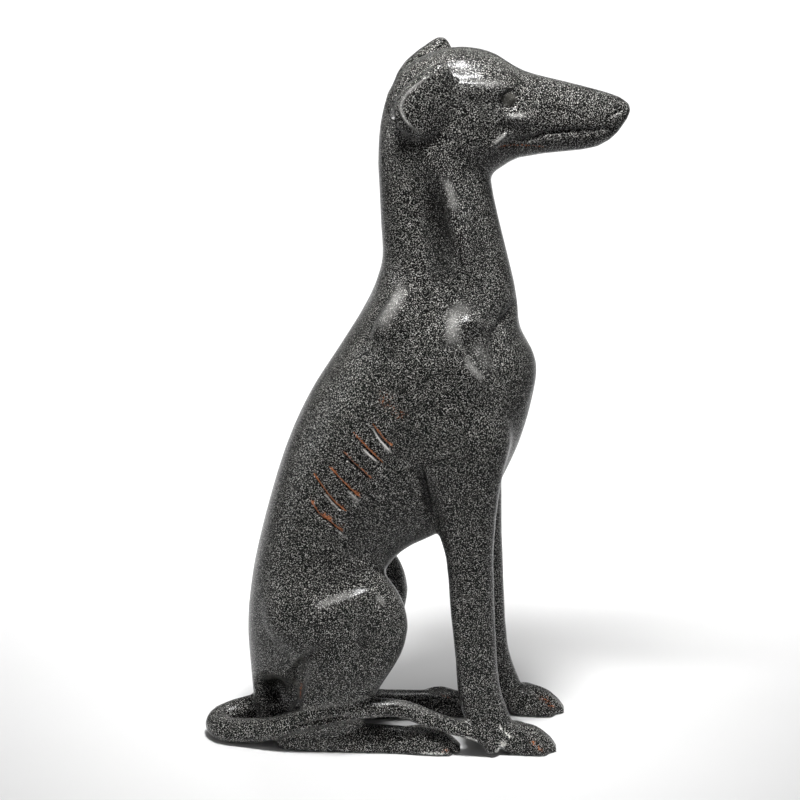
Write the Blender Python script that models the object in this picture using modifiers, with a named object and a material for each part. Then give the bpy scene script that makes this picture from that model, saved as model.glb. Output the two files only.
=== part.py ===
"""Statue of a seated greyhound: one hollow metal casting, drawn here as one closed solid.

The dog faces +X, its right flank is at -Y and it stands on Z = 0. The free form is laid out in
hundredths of the statue's height, so that pose and carving keep their shares at any size.
"""

import math

import bmesh
import bpy
import numpy as np
from mathutils import Matrix, Vector
from mathutils.bvhtree import BVHTree

# The driving dimension, metres, from the floor to the crown of the head
STATUE_HEIGHT = 0.760
HUNDREDTH = STATUE_HEIGHT / 100
# How far forward, in hundredths, the whole form moves, so that its length has its middle at the origin
FORWARD_TO_MIDDLE = 0.34

# Grain of the skins, in hundredths of the height, how far they are softened, and the share of the
# finer skin's triangles that is kept
MASS_GRAIN = 0.53
FORM_GRAIN = 0.28
MASS_SMOOTHINGS = 14
FORM_SMOOTHINGS = 7
KEPT_SHARE = 0.0252

# Points round a loft's section, steps between two stations, and how full its oval is: 2 is an ellipse
RING_POINTS = 40
STEPS_BETWEEN_STATIONS = 5
FULLNESS = 2.25
TAIL_ROUNDNESS = 6
EYE_SEGMENTS = 24

# The finish: black and grey stone-fleck enamel on metal
ENAMEL_COLOUR = (0.045, 0.045, 0.048, 1.0)
ENAMEL_ROUGHNESS = 0.42
ENAMEL_METALLIC = 0.15

# The sides of the dog: near is its right, at -Y
NEAR, FAR = -1, 1

# Lofts, in hundredths of the height: each station is a section between two opposite points of the
# side profile, (x1, z1, x2, z2), with the lateral place of its middle, its half width, and its lean:
# how much wider it is towards the second point.
TRUNK = (
    (-21.8, 1.6, -15.6, -1.0, 0.0, 2.6, 0.00),
    (-22.6, 4.8, -14.4, 2.8, 0.0, 3.0, 0.00),
    (-22.9, 9.0, -12.5, 7.6, 0.0, 4.6, 0.05),
    (-23.3, 15.6, -8.5, 13.5, 0.0, 8.2, 0.05),
    (-22.9, 21.6, -6.2, 19.0, 0.0, 9.0, 0.00),
    (-21.8, 28.0, -4.6, 24.2, 0.0, 8.6, -0.05),
    (-19.6, 37.0, -1.2, 28.4, 0.0, 8.2, -0.05),
    (-17.3, 44.3, 4.0, 31.0, 0.0, 8.6, -0.05),
    (-14.4, 50.8, 10.0, 35.4, 0.0, 9.0, -0.08),
    (-11.0, 56.4, 14.0, 43.2, 0.0, 9.0, -0.10),
    (-8.0, 61.4, 16.1, 51.0, 0.0, 8.6, -0.12),
    (-6.4, 64.3, 16.4, 55.6, 0.0, 7.8, -0.12),
    (-5.3, 67.4, 14.2, 60.2, 0.0, 6.8, -0.05),
    (-4.6, 70.6, 13.7, 65.2, 0.0, 6.1, -0.05),
    (-4.8, 75.0, 12.4, 71.0, 0.0, 5.6, -0.05),
    (-5.0, 79.8, 11.0, 77.0, 0.0, 5.4, -0.05),
    (-5.2, 84.4, 10.1, 81.6, 0.0, 5.4, -0.05),
    (-4.9, 89.4, 9.6, 86.0, 0.0, 5.2, -0.05),
    (-3.9, 94.2, 8.6, 91.0, 0.0, 4.2, 0.00),
)
HEAD = (
    (-3.0, 96.2, -3.6, 87.0, 0.0, 3.2, 0.10),
    (0.2, 98.7, 0.2, 83.5, 0.0, 4.6, 0.05),
    (4.4, 100.2, 4.6, 82.3, 0.0, 5.2, 0.00),
    (8.0, 100.1, 8.6, 82.2, 0.0, 5.2, -0.05),
    (10.8, 99.15, 11.0, 83.2, 0.0, 4.8, -0.10),
    (13.1, 97.6, 13.0, 84.6, 0.0, 4.1, -0.05),
    (15.2, 96.7, 15.0, 85.1, 0.0, 3.5, 0.00),
    (18.6, 95.9, 18.2, 85.5, 0.0, 3.0, 0.00),
    (22.0, 95.0, 21.4, 85.8, 0.0, 2.7, 0.00),
    (25.0, 94.2, 24.2, 86.3, 0.0, 2.45, 0.00),
    (27.3, 93.4, 26.4, 87.7, 0.0, 2.1, 0.00),
    (28.6, 92.6, 28.0, 89.8, 0.0, 1.4, 0.00),
    (28.9, 92.1, 28.8, 91.2, 0.0, 0.5, 0.00),
)
FORELEG = (
    (-1.6, 68.0, 2.5, 68.0, 3.6, 1.2, 0.0),
    (-4.0, 65.6, 6.4, 65.6, 4.0, 2.5, 0.0),
    (-4.6, 62.0, 9.2, 61.0, 4.5, 3.5, 0.0),
    (-4.2, 57.0, 10.8, 56.0, 4.9, 3.9, 0.0),
    (-3.0, 52.0, 12.2, 51.0, 5.2, 4.1, 0.0),
    (-1.5, 47.0, 13.0, 46.0, 5.5, 4.0, 0.0),
    (0.3, 42.0, 12.0, 41.4, 5.7, 3.6, 0.0),
    (1.7, 37.0, 11.3, 37.0, 5.9, 3.2, 0.0),
    (2.9, 32.6, 10.9, 32.6, 6.0, 2.9, 0.0),
    (4.0, 28.7, 10.7, 28.7, 6.1, 2.7, 0.0),
    (4.5, 22.5, 10.9, 22.5, 6.2, 2.5, 0.0),
    (4.9, 17.9, 11.1, 17.9, 6.3, 2.4, 0.0),
    (5.3, 14.0, 11.3, 14.0, 6.3, 2.35, 0.0),
    (5.6, 9.8, 11.7, 9.8, 6.3, 2.35, 0.0),
    (6.4, 5.4, 12.6, 6.6, 6.3, 2.4, 0.0),
    (8.4, 2.2, 13.6, 4.2, 6.3, 2.2, 0.0),
)
HAUNCH = (
    (-15.0, 29.4, -8.0, 29.0, 5.0, 2.0, 0.0),
    (-18.5, 27.0, -4.8, 26.6, 5.5, 3.4, 0.0),
    (-20.6, 23.6, -2.1, 23.2, 5.9, 4.3, 0.0),
    (-21.0, 19.6, -1.0, 19.4, 6.1, 4.7, 0.0),
    (-19.0, 16.0, -1.4, 16.0, 6.1, 4.6, 0.0),
    (-16.4, 13.2, -2.6, 13.2, 6.0, 4.3, 0.0),
    (-16.3, 10.0, -4.5, 10.0, 5.8, 3.7, 0.0),
    (-17.0, 6.6, -6.2, 6.6, 5.5, 3.0, 0.0),
    (-18.6, 2.6, -7.4, 2.6, 5.2, 2.4, 0.0),
)
HIND_FOOT = (
    (-19.3, 2.2, -19.3, -0.6, 4.7, 1.2, 0.0),
    (-18.4, 3.4, -18.4, -1.6, 4.8, 2.0, 0.0),
    (-14.0, 4.1, -14.0, -2.0, 5.1, 2.3, 0.0),
    (-8.0, 3.5, -8.0, -2.2, 5.5, 2.2, 0.0),
    (-2.5, 3.2, -2.5, -2.4, 5.9, 2.1, 0.0),
    (0.6, 3.1, 0.6, -2.2, 6.1, 2.4, 0.0),
    (3.0, 2.3, 3.0, -1.4, 6.3, 2.0, 0.0),
)
PAW_PAD = (
    (8.6, 4.6, 8.6, 2.6, 6.3, 1.9, 0.0),
    (10.6, 4.8, 10.6, 1.6, 6.3, 2.3, 0.0),
    (12.8, 4.3, 12.8, -0.6, 6.3, 2.4, 0.0),
    (14.8, 3.5, 14.8, -1.6, 6.3, 2.2, 0.0),
    (16.6, 2.6, 16.6, -1.2, 6.3, 1.8, 0.0),
)
TOE = (
    (-7.2, 3.0, -7.2, 1.0, 0.0, 0.35, 0.0),
    (-5.8, 3.7, -5.8, 0.2, 0.0, 0.60, 0.0),
    (-4.2, 3.8, -4.2, -0.8, 0.0, 0.80, 0.0),
    (-2.6, 3.2, -2.6, -1.2, 0.0, 0.84, 0.0),
    (-1.2, 2.1, -1.2, -1.2, 0.0, 0.76, 0.0),
    (-0.3, 1.0, -0.3, -0.8, 0.0, 0.58, 0.0),
    (0.1, 0.3, 0.1, -0.3, 0.0, 0.30, 0.0),
)
# Toes of a foot, inner to outer: lateral place from the middle of the foot, and how far back
TOE_PLACES = ((-1.85, 1.5), (-0.65, 0.0), (0.65, 0.0), (1.85, 1.3))
PAW_TIP = 19.5
PAW_LATERAL = 6.3
HIND_TIP = 6.3
HIND_LATERAL = 6.3
HIND_TOE_HEIGHT = 0.82
TOES_CLOSE_UP = 0.5
# The tail: middle line and radius, from inside the rump round the near side to the paw
TAIL = (
    (-19.5, 1.0, 5.0, 2.2),
    (-22.0, 1.2, 3.0, 2.0),
    (-24.6, 1.1, 2.3, 1.9),
    (-26.7, 0.3, 1.8, 1.9),
    (-27.5, -1.5, 1.6, 1.85),
    (-26.4, -3.4, 1.6, 1.8),
    (-23.4, -4.4, 1.9, 1.8),
    (-19.8, -5.8, 2.9, 1.7),
    (-16.4, -6.9, 4.6, 1.6),
    (-11.5, -7.5, 6.0, 1.5),
    (-6.9, -7.6, 6.7, 1.4),
    (-2.0, -7.5, 6.7, 1.3),
    (2.6, -7.7, 4.9, 1.3),
    (5.6, -8.0, 4.1, 1.2),
    (8.0, -8.2, 3.4, 1.15),
    (9.7, -8.3, 2.4, 1.1),
    (10.4, -8.3, 1.4, 1.05),
    (10.6, -8.3, 0.4, 1.0),
)
EAR = (
    (2.7, 100.0, 3.9, 100.0, 5.3, 0.5, -0.2),
    (2.0, 99.4, 4.4, 99.4, 5.3, 0.9, -0.3),
    (0.3, 98.2, 5.0, 98.2, 5.2, 1.25, -0.4),
    (-1.5, 96.6, 5.3, 96.6, 5.1, 1.4, -0.5),
    (-2.7, 94.8, 5.2, 94.8, 5.0, 1.5, -0.5),
    (-3.1, 92.8, 4.6, 92.8, 5.0, 1.5, -0.45),
    (-2.7, 91.0, 3.4, 91.0, 5.0, 1.3, -0.3),
    (-1.2, 89.6, 2.2, 89.6, 4.9, 0.9, 0.0),
    (-0.1, 89.0, 1.1, 89.0, 4.8, 0.4, 0.0),
)
EYE = (12.4, 3.3, 94.3)
EYE_RADIUS = 0.85
# The far legs stand a little further forward: the foreleg from its elbow down, by a step that is
# nothing at the first height and whole at the second, and the hind foot
FAR_FORELEG_FORWARD = 1.4
FAR_FORELEG_FORWARD_FROM = 45.0
FAR_FORELEG_FORWARD_WHOLE = 30.0
FAR_HIND_FOOT_FORWARD = 2.8

# Carving, drawn on the side view. A stroke has its points (x, z), half width and depth, and a
# dimple its middle, radius and depth. A raised ridge or knob has a negative depth. It fades where
# the skin turns off the flank, over this share of its facing.
FULL_DEPTH_FACING = 0.5
STROKES = (
    (((0.0, 89.0), (1.0, 82.0), (2.2, 75.5), (3.2, 69.0), (3.4, 61.5)), 3.4, 1.2),
    (((2.6, 86.0), (3.8, 82.0), (4.9, 78.0), (5.9, 73.0), (6.6, 68.2), (8.0, 61.0)), 1.5, -0.45),
    (((-6.8, 60.5), (-3.4, 65.8), (0.2, 69.5)), 2.6, -0.55),
    (((2.0, 67.0), (6.2, 65.8), (7.8, 63.6), (8.4, 60.0), (9.4, 53.0)), 1.9, -0.6),
    (((14.4, 66.4), (11.8, 62.6), (10.3, 59.9), (10.9, 57.2), (13.4, 53.0)), 1.2, 0.6),
    (((-1.8, 50.0), (0.2, 43.0), (2.4, 35.5), (3.8, 30.0)), 1.8, 0.8),
    (((-13.4, 25.8), (-8.6, 28.2), (-4.4, 28.0)), 0.9, -0.4),
    (((-5.0, 25.4), (-6.9, 20.0), (-7.6, 13.0)), 1.9, 0.6),
    (((-9.6, 17.6), (-14.2, 15.4), (-16.0, 12.5), (-16.8, 9.0), (-17.2, 2.0)), 1.4, 0.9),
    (((29.0, 89.8), (22.0, 89.4), (17.8, 89.3), (15.8, 88.6), (13.0, 88.3), (9.4, 88.6)), 0.65, 0.36),
    (((9.8, 87.3), (11.6, 89.5), (13.6, 91.0)), 0.8, -0.35),
    (((1.6, 95.6), (5.5, 96.3), (9.5, 96.3), (14.2, 94.9)), 1.6, -0.6),
    (((10.2, 92.8), (13.4, 91.9), (16.8, 92.8)), 1.0, -0.4),
)
DIMPLES = (
    (12.4, 94.3, 1.8, 0.6),
    (26.7, 91.7, 0.6, 0.35),
    (-19.6, 7.4, 3.6, 2.0),
)
# The chisel cuts over the ribs of each flank: points (x, z), the chisel's half width, and the share
# of it that is left at the pointed ends
RIB_CUTS = (
    ((-6.3, 50.2), (-5.3, 48.2), (-3.9, 46.6), (-2.8, 45.4)),
    ((-8.8, 48.4), (-7.4, 46.6), (-5.7, 44.9), (-3.5, 43.0)),
    ((-10.6, 45.9), (-8.8, 43.9), (-7.2, 42.4), (-5.4, 40.6)),
    ((-12.0, 43.1), (-10.2, 41.1), (-9.0, 39.9), (-7.3, 38.4)),
    ((-14.3, 42.0), (-12.9, 40.0), (-11.0, 37.7), (-9.1, 36.2)),
    ((-14.7, 38.1), (-13.2, 35.9), (-11.8, 34.9), (-9.5, 32.9)),
)
RIB_CUT_HALF_WIDTH = 0.30
RIB_CUT_POINT = 0.15
RIB_CUT_STEPS = 3


def clear_scene():
    for obj in list(bpy.data.objects):
        bpy.data.objects.remove(obj, do_unlink=True)


def collection(name):
    made = bpy.data.collections.new(name)
    bpy.context.scene.collection.children.link(made)
    return made


def eased(rows, steps):
    """The rows with Catmull-Rom steps between them."""
    rows = np.array(rows, float)
    ends = np.vstack([2 * rows[0] - rows[1], rows, 2 * rows[-1] - rows[-2]])
    made = []
    for a, b, c, d in zip(ends[:-3], ends[1:-2], ends[2:-1], ends[3:]):
        for t in np.arange(steps) / steps:
            made.append(
                b + 0.5 * t * (c - a + t * (2 * a - 5 * b + 4 * c - d + t * (3 * (b - c) + d - a)))
            )
    return np.array(made + [rows[-1]])


def loft(form, stations, side=FAR):
    """Adds a closed tube through the stations, on one side of the dog, to the form."""
    angles = np.arange(RING_POINTS) * 2 * math.pi / RING_POINTS
    along = np.sign(np.cos(angles)) * np.abs(np.cos(angles)) ** (2 / FULLNESS)
    across = np.sign(np.sin(angles)) * np.abs(np.sin(angles)) ** (2 / FULLNESS)
    rings = []
    for x1, z1, x2, z2, y, half_width, lean in eased(stations, STEPS_BETWEEN_STATIONS):
        x = (x1 + x2) / 2 + (x2 - x1) / 2 * along
        z = (z1 + z2) / 2 + (z2 - z1) / 2 * along
        wide = side * y + half_width * across * (1 + lean * along)
        rings.append([form.verts.new(p) for p in HUNDREDTH * np.stack([x, wide, z], 1)])
    faces = [form.faces.new(rings[0]), form.faces.new(rings[-1])]
    for low, high in zip(rings, rings[1:]):
        for i in range(RING_POINTS):
            j = (i + 1) % RING_POINTS
            faces.append(form.faces.new((low[i], low[j], high[j], high[i])))
    bmesh.ops.recalc_face_normals(form, faces=faces)


def tube(form, path, roundness, steps=STEPS_BETWEEN_STATIONS):
    """Adds a round tube of changing radius, closed at its ends, to the form."""
    curve = bpy.data.curves.new("path", "CURVE")
    curve.dimensions = "3D"
    curve.bevel_depth = HUNDREDTH
    curve.bevel_resolution = roundness
    curve.use_fill_caps = True
    points = eased(path, steps)
    line = curve.splines.new("POLY")
    line.points.add(len(points) - 1)
    for point, (x, y, z, radius) in zip(line.points, points):
        point.co = (HUNDREDTH * x, HUNDREDTH * y, HUNDREDTH * z, 1)
        point.radius = radius
    guide = bpy.data.objects.new("path", curve)
    bpy.context.scene.collection.objects.link(guide)
    form.from_mesh(evaluated_mesh(guide))
    bpy.data.objects.remove(guide)
    bmesh.ops.remove_doubles(form, verts=form.verts, dist=1e-6)


def ball(form, middle, radius):
    """Adds a ball to the form."""
    place = Matrix.Translation(Vector(middle) * HUNDREDTH)
    bmesh.ops.create_uvsphere(
        form, u_segments=EYE_SEGMENTS, v_segments=EYE_SEGMENTS // 2, radius=radius * HUNDREDTH, matrix=place
    )


def carve(mesh, strokes, dimples):
    """Sinks or raises the skin on both flanks, fading out at the edges and at a stroke's ends."""
    points = np.empty(len(mesh.vertices) * 3)
    mesh.vertices.foreach_get("co", points)
    normals = np.empty(len(mesh.vertices) * 3)
    mesh.vertices.foreach_get("normal", normals)
    points, normals = points.reshape(-1, 3), normals.reshape(-1, 3)
    side_view = points[:, [0, 2]] / HUNDREDTH
    facing_out = np.clip(normals[:, 1] * np.sign(points[:, 1]) / FULL_DEPTH_FACING, 0, 1)
    sunk = np.zeros(len(points))
    for path, half_width, depth in strokes:
        distance, share = nearest_on(np.array(path, float), side_view)
        fade = np.clip(1 - (distance / half_width) ** 2, 0, 1) ** 2
        sunk += depth * fade * np.sin(math.pi * share)
    for x, z, radius, depth in dimples:
        distance = np.linalg.norm(side_view - (x, z), axis=1)
        sunk += depth * np.clip(1 - (distance / radius) ** 2, 0, 1) ** 2
    points -= HUNDREDTH * (sunk * facing_out)[:, None] * normals
    mesh.vertices.foreach_set("co", points.ravel())
    mesh.update()


def nearest_on(path, places):
    """Each place's distance to the path, and where along it the nearest point is, from 0 to 1."""
    best = np.full(len(places), np.inf)
    share = np.zeros(len(places))
    lengths = np.linalg.norm(np.diff(path, axis=0), axis=1)
    starts = np.concatenate([[0], np.cumsum(lengths)])
    for start, end, length, before in zip(path, path[1:], lengths, starts):
        t = np.clip((places - start) @ (end - start) / length**2, 0, 1)
        distance = np.linalg.norm(places - start - t[:, None] * (end - start), axis=1)
        closer = distance < best
        best[closer] = distance[closer]
        share[closer] = ((before + t * length) / starts[-1])[closer]
    return best, share


def evaluated_mesh(obj):
    graph = bpy.context.evaluated_depsgraph_get()
    return bpy.data.meshes.new_from_object(obj.evaluated_get(graph), depsgraph=graph)


def melted(form, grain, smoothings):
    """The form's overlapping shapes as one skin, softened."""
    mesh = bpy.data.meshes.new("form")
    form.to_mesh(mesh)
    holder = bpy.data.objects.new("form", mesh)
    bpy.context.scene.collection.objects.link(holder)
    remesh = holder.modifiers.new("one_skin", "REMESH")
    remesh.mode = "VOXEL"
    remesh.voxel_size = HUNDREDTH * grain
    smooth = holder.modifiers.new("soften", "SMOOTH")
    smooth.iterations = smoothings
    result = evaluated_mesh(holder)
    bpy.data.objects.remove(holder)
    return result


def shifted(stations, forward, sideways=0, height=1):
    """The stations moved forward and sideways, with their heights scaled."""
    return [
        (x1 + forward, z1 * height, x2 + forward, z2 * height, y + sideways, *rest)
        for x1, z1, x2, z2, y, *rest in stations
    ]


def forward_far_leg(stations):
    """The far foreleg stands a little further forward from the elbow down."""
    bend = FAR_FORELEG_FORWARD_FROM - FAR_FORELEG_FORWARD_WHOLE
    moved = []
    for x1, z1, x2, z2, *rest in stations:
        share = (FAR_FORELEG_FORWARD_FROM - (z1 + z2) / 2) / bend
        step = FAR_FORELEG_FORWARD * min(max(share, 0), 1)
        moved.append((x1 + step, z1, x2 + step, z2, *rest))
    return moved


def toes(form, tip, lateral, height, side):
    """Adds a foot's toes to the form. They run together behind the knuckles."""
    last = len(TOE) - 1
    for place, back in TOE_PLACES:
        stations = shifted(TOE, tip - back, lateral, height)
        spread = [
            (*station[:4], station[4] + place * (1 - TOES_CLOSE_UP * (1 - i / last) ** 2), *station[5:])
            for i, station in enumerate(stations)
        ]
        loft(form, spread, side)


def rib_cutter(skin):
    """The chisel cuts of both flanks as one mesh: thin pointed tubes that follow the skin."""
    surface = bmesh.new()
    surface.from_mesh(skin)
    tree = BVHTree.FromBMesh(surface)
    cuts = bmesh.new()
    for side in (NEAR, FAR):
        for path in RIB_CUTS:
            points = eased(path, RIB_CUT_STEPS)
            rows = []
            for share, (x, z) in zip(np.linspace(0, 1, len(points)), points):
                outside = Vector((HUNDREDTH * x, side * STATUE_HEIGHT / 2, HUNDREDTH * z))
                on_skin = tree.ray_cast(outside, Vector((0, -side, 0)))[0]
                radius = RIB_CUT_HALF_WIDTH * max(math.sin(math.pi * share), RIB_CUT_POINT)
                rows.append((*(on_skin / HUNDREDTH), radius))
            tube(cuts, rows, 1, steps=1)
    mesh = bpy.data.meshes.new("rib_cutter")
    cuts.to_mesh(mesh)
    return mesh


def cut(body, mesh, cutters):
    """Takes the mesh out of the body, and gives back the cutter."""
    cutter = bpy.data.objects.new(mesh.name, mesh)
    cutter.hide_render = True
    cutter.display_type = "WIRE"
    cutters.objects.link(cutter)
    taken_out = body.modifiers.new(mesh.name, "BOOLEAN")
    taken_out.operation = "DIFFERENCE"
    taken_out.object = cutter
    return cutter


def main():
    clear_scene()
    statue = collection("seated_greyhound")
    cutters = collection("cutters")

    masses = bmesh.new()
    loft(masses, TRUNK)
    loft(masses, HEAD)
    for side in (NEAR, FAR):
        loft(masses, HAUNCH, side)
        loft(masses, FORELEG if side == NEAR else forward_far_leg(FORELEG), side)
    body = melted(masses, MASS_GRAIN, MASS_SMOOTHINGS)

    carve(body, STROKES, DIMPLES)

    form = bmesh.new()
    form.from_mesh(body)
    for side in (NEAR, FAR):
        far = side == FAR
        hind_step = FAR_HIND_FOOT_FORWARD if far else 0
        paw_step = FAR_FORELEG_FORWARD if far else 0
        loft(form, shifted(HIND_FOOT, hind_step), side)
        toes(form, HIND_TIP + hind_step, HIND_LATERAL, HIND_TOE_HEIGHT, side)
        loft(form, shifted(PAW_PAD, paw_step), side)
        toes(form, PAW_TIP + paw_step, PAW_LATERAL, 1, side)
        loft(form, EAR, side)
        x, y, z = EYE
        ball(form, (x, side * y, z), EYE_RADIUS)
    tube(form, TAIL, TAIL_ROUNDNESS)
    skin = melted(form, FORM_GRAIN, FORM_SMOOTHINGS)
    ribs = rib_cutter(skin)
    for mesh in (skin, ribs):
        mesh.transform(Matrix.Translation((HUNDREDTH * FORWARD_TO_MIDDLE, 0, 0)))

    greyhound = bpy.data.objects.new("greyhound", skin)
    statue.objects.link(greyhound)
    thin = greyhound.modifiers.new("fewer_triangles", "DECIMATE")
    thin.ratio = KEPT_SHARE

    block = bmesh.new()
    bmesh.ops.create_cube(block, size=1)
    floor_mesh = bpy.data.meshes.new("floor_cutter")
    block.to_mesh(floor_mesh)
    floor = cut(greyhound, floor_mesh, cutters)
    floor.scale = (STATUE_HEIGHT, STATUE_HEIGHT, STATUE_HEIGHT)
    floor.location = (0, 0, -STATUE_HEIGHT / 2)
    cut(greyhound, ribs, cutters)

    enamel = bpy.data.materials.new("stone_fleck_enamel")
    enamel.use_nodes = True
    shader = enamel.node_tree.nodes["Principled BSDF"]
    shader.inputs["Base Color"].default_value = ENAMEL_COLOUR
    shader.inputs["Roughness"].default_value = ENAMEL_ROUGHNESS
    shader.inputs["Metallic"].default_value = ENAMEL_METALLIC
    skin.materials.append(enamel)
    skin.shade_smooth()


main()
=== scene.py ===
"""The looks of a statue of a seated greyhound: a painted casting on a pale studio floor."""

import math

import bmesh
import bpy
import numpy as np
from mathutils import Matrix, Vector
from mathutils.bvhtree import BVHTree


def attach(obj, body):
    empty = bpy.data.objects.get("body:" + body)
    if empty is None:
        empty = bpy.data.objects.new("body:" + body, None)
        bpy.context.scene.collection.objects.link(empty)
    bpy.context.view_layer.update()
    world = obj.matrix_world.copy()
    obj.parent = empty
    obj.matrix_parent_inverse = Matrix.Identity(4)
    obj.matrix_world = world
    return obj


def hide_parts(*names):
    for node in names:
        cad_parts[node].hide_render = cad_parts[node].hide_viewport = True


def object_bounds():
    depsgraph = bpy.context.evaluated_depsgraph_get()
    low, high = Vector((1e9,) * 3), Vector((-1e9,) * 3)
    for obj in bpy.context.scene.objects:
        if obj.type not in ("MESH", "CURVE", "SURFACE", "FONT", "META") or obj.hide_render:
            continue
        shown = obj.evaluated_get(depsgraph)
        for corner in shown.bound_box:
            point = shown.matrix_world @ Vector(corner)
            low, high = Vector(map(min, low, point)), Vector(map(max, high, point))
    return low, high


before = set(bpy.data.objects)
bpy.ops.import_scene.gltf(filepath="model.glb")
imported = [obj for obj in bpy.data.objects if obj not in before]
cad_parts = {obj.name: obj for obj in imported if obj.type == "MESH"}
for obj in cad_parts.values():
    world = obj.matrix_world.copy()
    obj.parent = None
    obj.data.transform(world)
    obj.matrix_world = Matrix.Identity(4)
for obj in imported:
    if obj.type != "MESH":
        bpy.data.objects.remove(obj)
solid_box = [list(corner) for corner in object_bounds()]

# The raw casting: one hollow shell of cast aluminium, about 5 mm thick. It leaves its mould rough
# and is ground to one even skin. The form is laid out in hundredths of the height, on the side
# view, and its length has its middle over the origin.
STATUE_HEIGHT = 0.760
HUNDREDTH = STATUE_HEIGHT / 100
FORWARD_TO_MIDDLE = 0.34
# The skin's faces are just over a millimetre wide, fine enough for the chisel cuts
SKIN_GRAIN = 0.00115
GRINDINGS = 14

statue = bpy.data.objects.new("statue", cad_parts["greyhound"].data.copy())
bpy.context.scene.collection.objects.link(statue)


def take_up(piece):
    """Makes the piece the only one that operators act on."""
    bpy.ops.object.select_all(action="DESELECT")
    piece.select_set(True)
    bpy.context.view_layer.objects.active = piece


def worked(piece, kind, **settings):
    """Adds one modifier to the piece and applies it."""
    take_up(piece)
    bpy.ops.object.modifier_add(type=kind)
    modifier = piece.modifiers[-1]
    for name, value in settings.items():
        setattr(modifier, name, value)
    bpy.ops.object.modifier_apply(modifier=modifier.name)


take_up(statue)
bpy.ops.object.mode_set(mode="EDIT")
bpy.ops.mesh.select_all(action="SELECT")
bpy.ops.mesh.remove_doubles(threshold=1e-6)
bpy.ops.object.mode_set(mode="OBJECT")
worked(statue, "REMESH", mode="VOXEL", voxel_size=SKIN_GRAIN)
worked(statue, "SMOOTH", iterations=GRINDINGS)


# The modelling: the lines of muscle, fold and feature that the maker pressed into the form before
# it was cast, so they are one with the shell. Both flanks have the same lines.
NEAR, FAR = -1, 1
BOTH_SIDES, NEAR_SIDE = (NEAR, FAR), (NEAR,)
# Lines that more than one stroke follows, and long ones: points (x, z), or (x, y, z) on one side
ELBOW = ((0.1, 44.2), (0.9, 41.0), (1.5, 38.1), (2.1, 35.6), (2.7, 33.6))
BEHIND_KNEE = ((-6.4, 22.4), (-6.5, 20.0), (-6.7, 17.5), (-7.5, 14.0))
THIGH_SHELF = ((-18.6, 20.0), (-15.6, 21.8), (-12.4, 23.4), (-9.6, 24.2), (-7.2, 24.4), (-5.0, 23.4))
MOUTH = ((27.6, 90.0), (26.1, 89.7), (22.4, 89.5), (17.8, 89.3), (16.2, 88.9), (14.4, 88.5), (11.2, 88.3))
TAIL_CREASE = (
    (-19.0, -10.5, 3.3), (-15.3, -10.5, 4.6), (-12.6, -10.5, 5.1), (-9.8, -10.5, 5.5), (-7.0, -10.5, 6.3),
)
# A stroke has its line, its half width, its depth, which is negative for a ridge, and how many times
# wider its right side spreads than its left, for an edge that passes into a broad swell
SWELLS = (
    # neck: the long hollow behind the muscle, and the muscle's edge in front of it
    (((1.4, 86.5), (2.2, 81.5), (2.8, 76.7), (3.1, 72.8), (3.2, 69.8), (3.2, 65.8)), 2.3, 0.75, 1),
    (((7.5, 66.0), (6.9, 69.8), (6.3, 73.4), (5.7, 76.6), (4.8, 80.6), (3.8, 84.6)), 1.1, -0.7, 3),
    # withers, the point of the shoulder and the shoulder's front edge
    (((-6.2, 58.6), (-4.8, 61.9), (-3.4, 64.7), (-1.7, 66.7), (0.8, 67.8)), 1.7, -1.3, 3),
    (((3.6, 60.2), (4.6, 62.4), (6.0, 63.4), (7.8, 63.3), (9.6, 62.0)), 1.6, -1.05, 2.6),
    (((4.8, 63.6), (5.3, 61.4), (6.4, 58.9), (8.0, 56.1), (9.4, 51.6)), 1.1, -0.85, 3.4),
    # haunch: the flank dips to the shelf on top of the thigh; the knee, and the hollow behind it
    (((-5.0, 25.4), (-8.1, 25.8), (-11.0, 25.0), (-13.9, 24.0), (-17.2, 22.6)), 1.4, 0.8, 3.4),
    (THIGH_SHELF, 1.4, -0.22, 4),
    (((-7.6, 26.0), (-5.8, 24.2), (-4.4, 22.2), (-3.6, 19.2)), 1.2, -0.5, 2.4),
    (BEHIND_KNEE, 1.6, 0.4, 1),
    # calf: the crease behind it, and the pocket behind the hock
    (((-10.4, 18.2), (-13.2, 17.3), (-15.0, 15.6), (-16.0, 13.2), (-16.7, 10.0)), 0.9, 0.42, 1),
    (((-19.2, 9.4), (-19.4, 7.2), (-20.0, 5.0)), 2.4, 0.7, 1),
    # brow
    (((4.6, 96.4), (7.4, 96.7), (10.2, 96.3), (13.6, 94.9)), 1.1, -0.24, 3.6),
)
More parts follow.
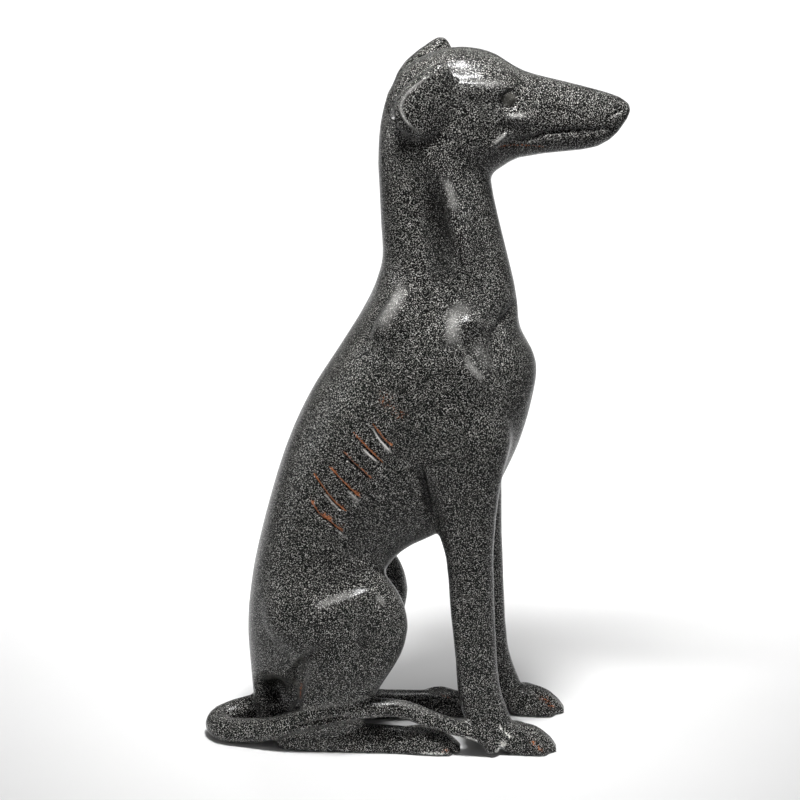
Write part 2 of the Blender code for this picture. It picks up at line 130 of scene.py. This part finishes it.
CREASES = (
    # breast: the crease in front of the shoulder
    (((13.6, 64.6), (11.7, 63.1), (10.8, 62.3), (10.2, 60.9), (10.9, 58.9), (12.2, 55.6)), 0.9, 0.22, 1),
    # elbow
    (ELBOW, 0.8, 0.5, 1),
    # the fold of the flank, and the thin fold that runs down the calf
    (((-12.4, 27.2), (-10.0, 28.3), (-8.2, 28.6), (-6.0, 28.0)), 0.7, -0.26, 2),
    (((-16.3, 7.0), (-15.8, 11.6), (-14.9, 14.4), (-13.4, 16.0), (-10.6, 17.0)), 0.5, -0.28, 2.6),
    # the fold below the eye
    (((10.6, 91.2), (12.5, 91.9), (13.9, 91.7), (16.0, 90.9)), 0.75, -0.38, 2.4),
    # mouth, the fold at its corner, and the edge of the lower lip
    (MOUTH, 0.45, 0.22, 1),
    (((9.6, 87.4), (10.9, 88.8), (12.0, 89.7), (13.6, 90.2)), 0.5, -0.34, 2.2),
    (((9.4, 87.9), (12.8, 87.8), (16.5, 87.2), (19.4, 86.8)), 0.3, 0.07, 1),
    # nose: the edge of its pad, and the nostril
    (((24.8, 94.4), (24.2, 93.2), (24.2, 91.9), (24.9, 90.8), (26.2, 90.2)), 0.3, 0.06, 1),
    (((25.7, 91.1), (26.4, 91.6), (27.1, 91.9), (27.4, 92.3)), 0.4, 0.22, 1),
    # between the tail and the hind foot
    (TAIL_CREASE, 0.7, 0.5, 1),
    # toes of the near forepaw, the far forepaw and the near hind foot
    (((13.9, -8.6, 4.0), (15.0, -8.7, 2.4), (15.6, -8.8, 1.2), (15.9, -8.8, 0.2)), 0.55, 0.4, 1),
    (((16.2, 5.2, 4.6), (17.4, 5.0, 3.2), (18.2, 4.8, 2.2), (18.9, 4.8, 0.9)), 0.55, 0.4, 1),
    (((1.8, -8.4, 4.2), (3.3, -8.6, 2.8), (4.2, -8.7, 1.5), (4.5, -8.7, 0.4)), 0.55, 0.4, 1),
)
# The chisel cuts over the ribs, and their half width and depth
RIB_CUTS = (
    ((-6.3, 50.2), (-5.3, 48.2), (-3.9, 46.6), (-2.8, 45.4)),
    ((-8.8, 48.4), (-7.4, 46.6), (-5.7, 44.9), (-3.5, 43.0)),
    ((-10.6, 45.9), (-8.8, 43.9), (-7.2, 42.4), (-5.4, 40.6)),
    ((-12.0, 43.1), (-10.2, 41.1), (-9.0, 39.9), (-7.3, 38.4)),
    ((-14.3, 42.0), (-12.9, 40.0), (-11.0, 37.7), (-9.1, 36.2)),
    ((-14.7, 38.1), (-13.2, 35.9), (-11.8, 34.9), (-9.5, 32.9)),
)
RIB_CUT_HALF_WIDTH, RIB_CUT_DEPTH = 0.34, 0.26
# The eye's ball lies in a round hollow: its middle, and the ring's radius, half width and depth
EYE_AT = (12.4, 94.3)
EYE_RING = (1.1, 0.5, 0.17)
EYE_RING_POINTS = 13
# The ear's back edge has a thin rolled rim with a crevice behind it, and its front edge melts into
# the cheek
EAR_RIM = (
    (4.5, 98.2), (3.9, 99.0), (3.1, 99.2), (1.9, 98.6), (0.2, 97.4), (-1.1, 96.2), (-1.9, 94.9),
    (-2.1, 93.7), (-1.5, 92.4), (-0.6, 91.3), (0.4, 90.4), (1.5, 89.9),
)
EAR_RIM_HALF_WIDTH, EAR_RIM_DEPTH = 0.36, -0.2
EAR_BACK = ((2.2, 99.9), (0.2, 98.9), (-1.7, 97.6), (-2.9, 96.0), (-3.4, 94.2), (-3.2, 92.4), (-2.3, 90.8))
EAR_BACK_HALF_WIDTH, EAR_BACK_DEPTH = 0.9, 0.8
EAR_FRONT = (
    (4.4, 98.7), (5.0, 97.6), (5.7, 96.2), (6.0, 94.6), (5.9, 93.2), (5.2, 91.6), (4.0, 90.2), (2.6, 89.2),
)
EAR_FRONT_HALF_WIDTH = 2.2
# A stroke fades out over this share of its length at each end, and a swell over more
FADING_SHARE, SWELL_FADING_SHARE = 0.3, 0.45
# The broad flanks are filed smooth, before and after the swells, between the feet and the head
SOFTENINGS, SWELL_SOFTENINGS, SOFTNESS_LEVELS = 50, 9, 10
FLANKS_FROM, FLANKS_TO, FLANKS_BLEND = 9, 86, 4


def eased(rows, steps=6):
    """The rows with smooth steps between them."""
    rows = np.array(rows, float)
    ends = np.vstack([2 * rows[0] - rows[1], rows, 2 * rows[-1] - rows[-2]])
    made = []
    for a, b, c, d in zip(ends[:-3], ends[1:-2], ends[2:-1], ends[3:]):
        for t in np.arange(steps) / steps:
            made.append(
                b + 0.5 * t * (c - a + t * (2 * a - 5 * b + 4 * c - d + t * (3 * (b - c) + d - a)))
            )
    return np.array(made + [rows[-1]])


def skin_tree(piece):
    """A search tree of the piece's skin."""
    surface = bmesh.new()
    surface.from_mesh(piece.data)
    tree = BVHTree.FromBMesh(surface)
    surface.free()
    return tree


def laid_on(tree, path, side):
    """A line as points on the skin. One with points (x, z) is laid on that side's flank, and one with
    points (x, y, z) on the nearest skin."""
    if len(path[0]) == 3:
        forward = Vector((FORWARD_TO_MIDDLE, 0, 0))
        return np.array([tree.find_nearest(HUNDREDTH * (Vector(place) + forward))[0] for place in path])
    found = []
    for x, z in eased(path):
        outside = Vector((HUNDREDTH * (x + FORWARD_TO_MIDDLE), side * STATUE_HEIGHT, HUNDREDTH * z))
        hit = tree.ray_cast(outside, Vector((0, -side, 0)))[0]
        if hit:
            found.append(hit)
    return np.array(found)


def nearest_on(path, points):
    """Each point's distance to the path, where along it the nearest place is, from 0 to 1, and
    whether the point lies to the path's right on the side view."""
    best = np.full(len(points), np.inf)
    share = np.zeros(len(points))
    on_right = np.zeros(len(points), bool)
    lengths = np.linalg.norm(np.diff(path, axis=0), axis=1)
    starts = np.concatenate([[0], np.cumsum(lengths)])
    for start, end, length, before in zip(path, path[1:], lengths, starts):
        t = np.clip((points - start) @ (end - start) / length**2, 0, 1)
        distance = np.linalg.norm(points - start - t[:, None] * (end - start), axis=1)
        closer = distance < best
        best[closer] = distance[closer]
        share[closer] = ((before + t * length) / starts[-1])[closer]
        along, off = end - start, points - start
        on_right[closer] = (along[2] * off[:, 0] - along[0] * off[:, 2] > 0)[closer]
    return best, share, on_right


def vectors(mesh, kind):
    """The vertices' places or normals as rows."""
    found = np.empty(len(mesh.vertices) * 3)
    mesh.vertices.foreach_get(kind, found)
    return found.reshape(-1, 3)


def strength(points, path, half_width, spread=1, fading=FADING_SHARE):
    """How strongly a stroke along the path acts on each point: 1 on its line, 0 at its edge."""
    acting = np.zeros(len(points))
    reach = HUNDREDTH * half_width
    farthest = reach * spread
    near = ((points > path.min(0) - farthest) & (points < path.max(0) + farthest)).all(1)
    distance, share, on_right = nearest_on(path, points[near])
    distance[on_right] /= spread
    fade = np.clip(1 - (distance / reach) ** 2, 0, 1) ** 2
    run = np.clip(np.minimum(share, 1 - share) / fading, 0, 1) if fading else 1
    acting[near] = fade * run * run * (3 - 2 * run)
    return acting


def carve(piece, strokes, fading=FADING_SHARE):
    """Sinks or raises the skin along each stroke, on both flanks unless the line says where."""
    tree = skin_tree(piece)
    points, normals = vectors(piece.data, "co"), vectors(piece.data, "normal")
    sunk = np.zeros(len(points))
    for path, half_width, depth, spread in strokes:
        for side in BOTH_SIDES if len(path[0]) == 2 else NEAR_SIDE:
            line = laid_on(tree, path, side)
            sunk += HUNDREDTH * depth * strength(points, line, half_width, spread, fading)
    points -= sunk[:, None] * normals
    piece.data.vertices.foreach_set("co", points.ravel())
    piece.data.update()


def soften(piece, shares, times):
    """Smooths the skin, in full where a vertex's share is 1 and not at all where it is 0."""
    group = piece.vertex_groups.new(name="soft")
    for level in range(1, SOFTNESS_LEVELS + 1):
        chosen = np.flatnonzero(np.round(shares * SOFTNESS_LEVELS) == level)
        group.add(chosen.tolist(), level / SOFTNESS_LEVELS, "REPLACE")
    worked(piece, "SMOOTH", iterations=times, vertex_group="soft")
    piece.vertex_groups.clear()


# The ear's front edge is filed smooth as well as the flanks
points = vectors(statue.data, "co")
heights = points[:, 2] / HUNDREDTH
above_feet = np.clip((heights - FLANKS_FROM) / FLANKS_BLEND, 0, 1)
below_head = np.clip((FLANKS_TO - heights) / FLANKS_BLEND, 0, 1)
broad = above_feet * below_head
tree = skin_tree(statue)
for side in BOTH_SIDES:
    front_edge = laid_on(tree, EAR_FRONT, side)
    broad = np.maximum(broad, strength(points, front_edge, EAR_FRONT_HALF_WIDTH))
soften(statue, broad, SOFTENINGS)
carve(statue, SWELLS, SWELL_FADING_SHARE)
soften(statue, broad, SWELL_SOFTENINGS)
carve(statue, CREASES)
ring_radius, ring_half_width, ring_depth = EYE_RING
round_the_eye = [
    (EYE_AT[0] + ring_radius * math.cos(turn), EYE_AT[1] + ring_radius * math.sin(turn))
    for turn in np.linspace(0, 2 * math.pi, EYE_RING_POINTS)
]
carve(statue, [(round_the_eye, ring_half_width, ring_depth, 1)], fading=0)
carve(statue, [(EAR_BACK, EAR_BACK_HALF_WIDTH, EAR_BACK_DEPTH, 1)])
carve(statue, [(EAR_RIM, EAR_RIM_HALF_WIDTH, EAR_RIM_DEPTH, 1)])
carve(statue, [(cut, RIB_CUT_HALF_WIDTH, RIB_CUT_DEPTH, 1) for cut in RIB_CUTS])

TRIANGLES_KEPT = 190000
worked(statue, "TRIANGULATE")
worked(statue, "DECIMATE", ratio=TRIANGLES_KEPT / len(statue.data.polygons))

# Nothing stands out past the solid's box
points = vectors(statue.data, "co")
statue.data.vertices.foreach_set("co", np.clip(points, *solid_box).ravel())
statue.data.update()

# The finish: stone-fleck enamel, a black lacquer spattered with pale grains over a copper-brown base
# coat. The base coat shows in the rib cuts, along the lower lip and on the toes, and white primer
# where the tail's tip and the toes are chipped. Each worn place has its line, half width and amount.
COPPER_SHOWS = (
    # the rib cuts, front to back, and a faint haze over the first
    (((-6.1, 50.1), (-5.0, 48.5), (-3.7, 47.0), (-2.6, 45.9)), 0.24, 0.50),
    (((-8.8, 48.6), (-7.2, 46.8), (-5.5, 45.1), (-3.9, 43.6)), 0.26, 0.70),
    (((-10.5, 46.2), (-8.7, 44.2), (-7.0, 42.7), (-5.2, 40.9)), 0.26, 0.42),
    (((-12.0, 43.4), (-10.1, 41.3), (-8.9, 40.1), (-7.2, 38.6)), 0.32, 0.85),
    (((-14.2, 42.2), (-12.7, 40.1), (-10.9, 37.9), (-9.0, 36.4)), 0.30, 0.80),
    (((-14.7, 38.6), (-13.1, 36.1), (-11.7, 35.1), (-9.5, 33.2)), 0.28, 0.60),
    (((-13.2, 36.4), (-12.2, 35.8), (-11.2, 35.1)), 0.7, 0.42),
    (((-5.4, 54.6), (-3.3, 52.1), (-1.0, 50.0)), 1.6, 0.17),
    # lower lip and calf
    (((9.8, 87.9), (13.8, 87.7), (18.7, 86.9)), 0.3, 0.27),
    (((-15.8, 10.4), (-16.0, 7.6)), 0.5, 0.34),
    # toes
    (((16.9, 4.4, 3.0), (18.2, 4.8, 2.3), (19.2, 4.8, 1.4), (19.6, 4.8, 0.6)), 0.9, 0.23),
    (((15.8, -8.6, 2.6), (16.6, -8.7, 1.6), (17.9, -8.6, 0.6)), 0.7, 0.24),
    (((3.4, -8.7, 0.6), (4.8, -8.3, 0.9)), 0.7, 0.26),
    (((3.2, 5.3, 3.1), (5.0, 4.6, 2.5)), 0.7, 0.23),
)
WHITE_SHOWS = (
    # the tail's tip and the hind toes
    (((10.9, -8.9, 0.3), (11.7, -8.8, 0.9), (12.0, -8.6, 1.6), (11.8, -8.7, 2.4)), 0.9, 0.42),
    (((11.4, -8.3, 4.5), (12.2, -8.3, 3.7), (12.7, -8.4, 3.1), (13.6, -8.5, 2.6)), 0.4, 0.42),
    (((6.8, -9.0, 3.1), (7.6, -9.1, 2.8), (8.6, -9.2, 2.4)), 0.5, 0.38),
    (((0.6, -8.5, 0.5), (2.7, -8.7, 0.4), (4.4, -8.7, 0.4)), 0.5, 0.36),
)
TAIL_BACK = (
    (-20.8, -8.5, 5.8), (-16.0, -8.5, 7.0), (-11.4, -8.5, 8.0), (-6.7, -8.5, 8.7),
    (-2.0, -8.5, 8.6), (2.6, -8.5, 6.8), (5.5, -8.5, 6.1),
)
# Painted highlights: standing edges, ridges and folds are painted a pale grey where the light catches them
PAINTED_HIGHLIGHTS = (
    # the lower edges of the rib cuts, front to back
    (((-6.0, 49.3), (-5.2, 47.8), (-4.0, 46.3), (-3.0, 45.3)), 0.24, 1.0),
    (((-7.4, 46.2), (-6.3, 45.1), (-5.0, 44.0)), 0.22, 0.9),
    (((-9.4, 39.9), (-8.4, 38.9), (-7.1, 37.9)), 0.2, 0.7),
    (((-12.6, 39.3), (-11.5, 38.0), (-10.4, 36.9)), 0.2, 0.7),
    (((-10.8, 33.8), (-9.4, 32.6)), 0.2, 0.6),
    # the ear's rim, and the folds below the eye and at the mouth's corner
    (EAR_RIM[2:], 0.34, 0.5),
    (((12.2, 92.1), (13.6, 92.3), (14.8, 92.0)), 0.45, 0.4),
    (((10.2, 88.2), (11.1, 89.1), (12.2, 89.8)), 0.4, 0.45),
    # the brow, the neck's edge, the withers, the point of the shoulder and its front edge
    (((6.6, 97.2), (8.6, 97.1), (11.8, 96.6)), 0.8, 0.16),
    (((3.4, 84.2), (4.5, 82.0), (5.2, 78.6)), 0.9, 0.3),
    (((-5.2, 62.2), (-3.8, 65.2), (-2.4, 67.4), (-0.8, 68.8)), 1.6, 0.32),
    (((5.3, 60.2), (4.9, 62.4), (5.0, 64.6), (6.2, 65.4), (8.0, 64.6)), 1.4, 0.36),
    (((6.4, 59.6), (7.6, 57.8), (9.2, 55.8)), 0.9, 0.32),
    (((7.4, 61.8), (9.0, 58.8), (10.6, 56.6)), 1.4, 0.14),
    # the tail's back
    (TAIL_BACK, 0.5, 0.22),
    # the top of the thigh and the knee
    (((-14.2, 23.0), (-11.0, 24.2), (-8.0, 25.1)), 0.9, 0.28),
    (((-5.6, 24.6), (-4.8, 23.8), (-4.0, 23.0)), 0.8, 0.28),
)
# Painted shade: the hollows are darkened with fewer grains: neck, behind the ear, round the eye, elbow,
# knee and hock
PAINTED_SHADE_SHOWS = (
    (((1.6, 85.5), (2.2, 81.5), (2.8, 76.7), (3.1, 72.8), (3.2, 69.8), (3.2, 65.0)), 3.2, 0.75),
    (EAR_BACK, 1.4, 1.0),
    (((11.2, 94.0), (11.6, 95.3), (12.8, 95.6), (13.6, 94.9)), 0.8, 0.8),
    (ELBOW, 1.1, 0.8),
    (BEHIND_KNEE, 2.0, 0.5),
    (((-10.4, 18.2), (-13.2, 17.3), (-15.0, 15.6), (-16.4, 12.2)), 1.2, 0.6),
    (((-17.6, 9.0), (-19.4, 7.2), (-20.6, 5.4)), 3.2, 0.8),
)
# The ball of the eye has a skin of its own grey
EYE_SHOWS = ((((EYE_AT[0] - 0.1, EYE_AT[1]), (EYE_AT[0] + 0.1, EYE_AT[1])), 1.4, 1.0),)


def mark(piece, name, strokes, sides, fading):
    """Gives the skin an attribute that says how much of something shows at each vertex."""
    tree = skin_tree(piece)
    points = vectors(piece.data, "co")
    shown = np.zeros(len(points))
    for path, half_width, amount in strokes:
        for side in sides:
            line = laid_on(tree, path, side)
            shown = np.maximum(shown, amount * strength(points, line, half_width, fading=fading))
    piece.data.attributes.new(name, "FLOAT", "POINT").data.foreach_set("value", shown)


mark(statue, "copper", COPPER_SHOWS, NEAR_SIDE, fading=0.2)
mark(statue, "white", WHITE_SHOWS, NEAR_SIDE, fading=0.1)
# Painted highlights on the ridges, rims and folds
mark(statue, "painted_highlight", PAINTED_HIGHLIGHTS, BOTH_SIDES, fading=0.3)
# Painted shade in the hollows
mark(statue, "painted_shade", PAINTED_SHADE_SHOWS, BOTH_SIDES, fading=0.35)
mark(statue, "eye", EYE_SHOWS, BOTH_SIDES, fading=0)


def linear(colour):
    """An sRGB hex colour as the linear values that a shader takes."""
    parts = [int(colour[i : i + 2], 16) / 255 for i in (1, 3, 5)]
    return [c / 12.92 if c <= 0.04045 else ((c + 0.055) / 1.055) ** 2.4 for c in parts] + [1]


def add_node(tree, kind, inputs=(), output=0, **settings):
    """Adds a shader node, sets or links its inputs and gives back one of its outputs."""
    made = tree.nodes.new(kind)
    for name, value in settings.items():
        setattr(made, name, value)
    for socket, value in dict(inputs).items():
        if isinstance(value, bpy.types.NodeSocket):
            tree.links.new(value, made.inputs[socket])
        else:
            made.inputs[socket].default_value = value
    return made.outputs[output]


# Enamel sprayed and baked on the casting: to the eye, sharp pale grains in black, under a clear
# gloss that veils them where it catches the light
LACQUER, GRAIN, BASE_COAT, PRIMER = "#040404", "#c4c3bf", "#c4774b", "#e9e9e4"
# The pale grey of the painted highlights, and the eyeball's own grey
PAINTED_HIGHLIGHT_GREY, EYEBALL = "#a9a8a5", "#43423e"
GRAIN_WIDTH_MM, CHIP_WIDTH_MM, GRAIN_RELIEF_MM = 1.0204, 1.923, 0.12
MM_IN_METRE = 1000
# The noise's values at a grain's edge and where the grain is full
GRAIN_EDGE, GRAIN_MIDDLE = 0.575, 0.66
# The painted-shade mark at which a hollow would have no grains left. The strongest mark is 1
NO_GRAINS = 1.3
# The sum of a mark and the noise at which the coat below first shows and shows whole, and the marks
# between which that is let through
BARE_FROM, BARE_ALL, MARK_FROM, MARK_FULL = 0.72, 1.0, 0.02, 0.2
# The marks between which the eyeball's grey sets in, and how strong it is
EYE_EDGE, EYE_FULL, EYE_STRENGTH = 0.1, 0.5, 0.75

enamel = bpy.data.materials.new("stone_fleck_enamel")
enamel.use_nodes = True
tree = enamel.node_tree
shader = tree.nodes["Principled BSDF"]
place = add_node(tree, "ShaderNodeTexCoord", output="Object")
spatter = {"Vector": place, "Scale": MM_IN_METRE / GRAIN_WIDTH_MM, "Detail": 1.0, "Roughness": 0.6}
grains = add_node(tree, "ShaderNodeTexNoise", spatter)
cover = {"Value": grains, "From Min": GRAIN_EDGE, "From Max": GRAIN_MIDDLE}
grain_cover = add_node(tree, "ShaderNodeMapRange", cover)
# Painted shade: fewer grains, and so a darker colour, in the hollows
painted_shade = add_node(tree, "ShaderNodeAttribute", output="Fac", attribute_name="painted_shade")
kept = add_node(tree, "ShaderNodeMapRange", {"Value": painted_shade, "From Min": NO_GRAINS, "From Max": 0.0})
fleck = add_node(tree, "ShaderNodeMath", {0: grain_cover, 1: kept}, operation="MULTIPLY")
two_tone = {"Factor": fleck, "A": linear(LACQUER), "B": linear(GRAIN)}
coloured = add_node(tree, "ShaderNodeMix", two_tone, "Result", data_type="RGBA")

# The base coat and the primer show in ragged patches about 2 mm wide
patches = {"Vector": place, "Scale": MM_IN_METRE / CHIP_WIDTH_MM, "Detail": 1.0, "Roughness": 0.6}
chips = add_node(tree, "ShaderNodeTexNoise", patches)
for name, coat in (("copper", BASE_COAT), ("white", PRIMER)):
    shown = add_node(tree, "ShaderNodeAttribute", output="Fac", attribute_name=name)
    ragged = add_node(tree, "ShaderNodeMath", {0: shown, 1: chips}, operation="ADD")
    gone = add_node(
        tree, "ShaderNodeMapRange", {"Value": ragged, "From Min": BARE_FROM, "From Max": BARE_ALL}
    )
    marked = add_node(
        tree, "ShaderNodeMapRange", {"Value": shown, "From Min": MARK_FROM, "From Max": MARK_FULL}
    )
    bare = add_node(tree, "ShaderNodeMath", {0: gone, 1: marked}, operation="MULTIPLY")
    worn = {"Factor": bare, "A": coloured, "B": linear(coat)}
    coloured = add_node(tree, "ShaderNodeMix", worn, "Result", data_type="RGBA")

# Painted highlights: a pale grey mixed over the colour along the ridges, rims and folds
painted_highlight = add_node(tree, "ShaderNodeAttribute", output="Fac", attribute_name="painted_highlight")
highlighted = {"Factor": painted_highlight, "A": coloured, "B": linear(PAINTED_HIGHLIGHT_GREY)}
coloured = add_node(tree, "ShaderNodeMix", highlighted, "Result", data_type="RGBA")
eye = add_node(tree, "ShaderNodeAttribute", output="Fac", attribute_name="eye")
ball = add_node(tree, "ShaderNodeMapRange", {"Value": eye, "From Min": EYE_EDGE, "From Max": EYE_FULL})
greyed = add_node(tree, "ShaderNodeMath", {0: ball, 1: EYE_STRENGTH}, operation="MULTIPLY")
with_eye = {"Factor": greyed, "A": coloured, "B": linear(EYEBALL)}
coloured = add_node(tree, "ShaderNodeMix", with_eye, "Result", data_type="RGBA")
tree.links.new(coloured, shader.inputs["Base Color"])

# The clear gloss levels the grains, so that hardly any of their relief is left
bump = {"Height": grains, "Distance": GRAIN_RELIEF_MM / MM_IN_METRE, "Strength": 0.6}
tree.links.new(add_node(tree, "ShaderNodeBump", bump), shader.inputs["Normal"])
shader.inputs["Roughness"].default_value = 0.28
shader.inputs["Specular IOR Level"].default_value = 0.17
shader.inputs["IOR"].default_value = 1.5
statue.data.materials.clear()
statue.data.materials.append(enamel)
take_up(statue)
bpy.ops.object.shade_smooth()

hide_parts("greyhound")
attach(statue, "root")

# The studio: matt white paper that runs out of view, laid a hair's breadth under the feet, with soft
# white light from overhead, behind and both sides
FLOOR_SIZE, FLOOR_DROP = 30.0, 0.0005
bpy.ops.object.select_all(action="DESELECT")
bpy.ops.mesh.primitive_plane_add(size=FLOOR_SIZE, location=(0, 0, -FLOOR_DROP))
floor = bpy.context.active_object
floor.name = "studio_floor"
paper = bpy.data.materials.new("matt_paper")
paper.use_nodes = True
paper.node_tree.nodes["Principled BSDF"].inputs["Base Color"].default_value = linear("#d8d8d8")
paper.node_tree.nodes["Principled BSDF"].inputs["Roughness"].default_value = 0.7
floor.data.materials.append(paper)

world = bpy.data.worlds.new("soft_room")
bpy.context.scene.world = world
world.use_nodes = True
world.node_tree.nodes["Background"].inputs["Color"].default_value = linear("#ffffff")
world.node_tree.nodes["Background"].inputs["Strength"].default_value = 0.04


def softbox(name, place, aim, size, watts, beam=180):
    """A soft square light at a place, turned to what it lights, with its beam's width in degrees."""
    bpy.ops.object.light_add(type="AREA", location=place)
    lamp = bpy.context.active_object
    lamp.name = name
    lamp.data.shape = "RECTANGLE"
    lamp.data.size, lamp.data.size_y = size
    lamp.data.energy = watts
    lamp.data.spread = math.radians(beam)
    lamp.rotation_euler = (Vector(aim) - Vector(place)).to_track_quat("-Z", "Y").to_euler()


softbox("overhead_softbox", (0, -0.42, 1.85), (0, 0, 0.3), (0.34, 0.28), 7.6, beam=70)
softbox("back_softbox", (0, 2.9, 2.6), (0, 2.7, 0), (4.5, 2.6), 12)
softbox("left_softbox", (-1.9, -0.4, 0.62), (0, 0, 0.4), (1.4, 1.0), 2.3, beam=90)
softbox("right_softbox", (1.65, -1.05, 0.7), (0, 0, 0.4), (1.0, 1.1), 1.5, beam=90)

# A soft spot whitens the paper behind the statue and misses the statue
bpy.ops.object.light_add(type="SPOT", location=(0, 1.75, 3.2))
backdrop_spot = bpy.context.active_object
backdrop_spot.name = "backdrop_spot"
backdrop_spot.data.energy = 700
backdrop_spot.data.spot_size = math.radians(62)
backdrop_spot.data.spot_blend = 0.7
backdrop_spot.data.shadow_soft_size = 0.3

# The camera, where the photograph was taken from: side on, and looking down a little
CAMERA_TARGET = Vector((-0.0140, 0, 0.3774))
CAMERA_DISTANCE = 6.0
CAMERA_ELEVATION = math.radians(22)
CAMERA_LENS = 260.2
bpy.ops.object.camera_add()
camera = bpy.context.active_object
camera.data.lens = CAMERA_LENS
camera.location = CAMERA_TARGET + CAMERA_DISTANCE * Vector(
    (0, -math.cos(CAMERA_ELEVATION), math.sin(CAMERA_ELEVATION))
)
camera.rotation_euler = (CAMERA_TARGET - camera.location).to_track_quat("-Z", "Y").to_euler()
camera.data.clip_end = 100
bpy.context.scene.camera = camera
bpy.context.scene.view_settings.view_transform = "Standard"
